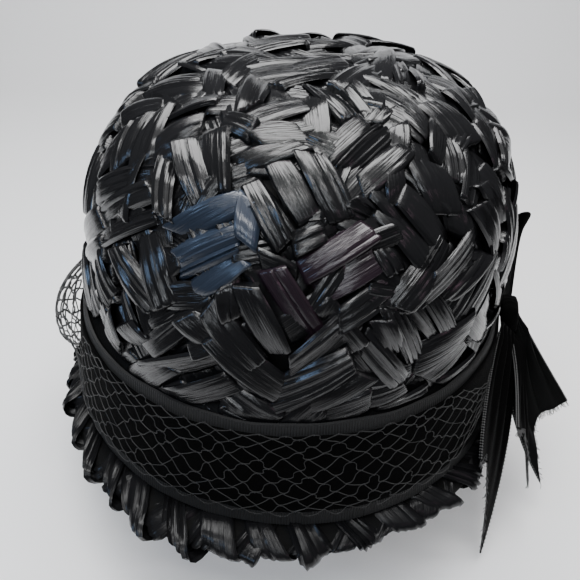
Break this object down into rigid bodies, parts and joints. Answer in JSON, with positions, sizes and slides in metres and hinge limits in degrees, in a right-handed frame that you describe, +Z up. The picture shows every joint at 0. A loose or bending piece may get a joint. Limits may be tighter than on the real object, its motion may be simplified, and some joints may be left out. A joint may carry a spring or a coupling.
{
  "type": "plaited straw cloche hat with a ribbon band, net veil and side bow",
  "caption": "Deep round-crowned black hat plaited from glossy straw, with a turned-down plaited rim, a grosgrain and velvet band, a net veil and a side bow whose tails hang below the rim.",
  "frame": {"origin": "centre of the head opening, in the plane of the rim's lower edge", "axes": "+Z up the crown, -Y to the front of the hat, +X to the wearer's left, where the bow sits"},
  "size_m": [0.2428, 0.2324, 0.1863],
  "materials": {
    "glossy_straw": "flat strips of black cellophane straw with a sharp, streaked gloss",
    "grosgrain": "black ribbed ribbon with a soft sheen",
    "velvet": "deep black pile with no gloss",
    "veil_net": "black knotted thread"
  },
  "bodies": {
    "root": {"crown": "glossy_straw", "brim": "glossy_straw", "band_grosgrain": "grosgrain", "band_velvet": "velvet", "veil": "veil_net", "bow_knot": "velvet", "bow_loop": "velvet", "bow_tail_a": "velvet", "bow_tail_b": "velvet", "bow_tail_c": "velvet"}
  },
  "joints": []
}
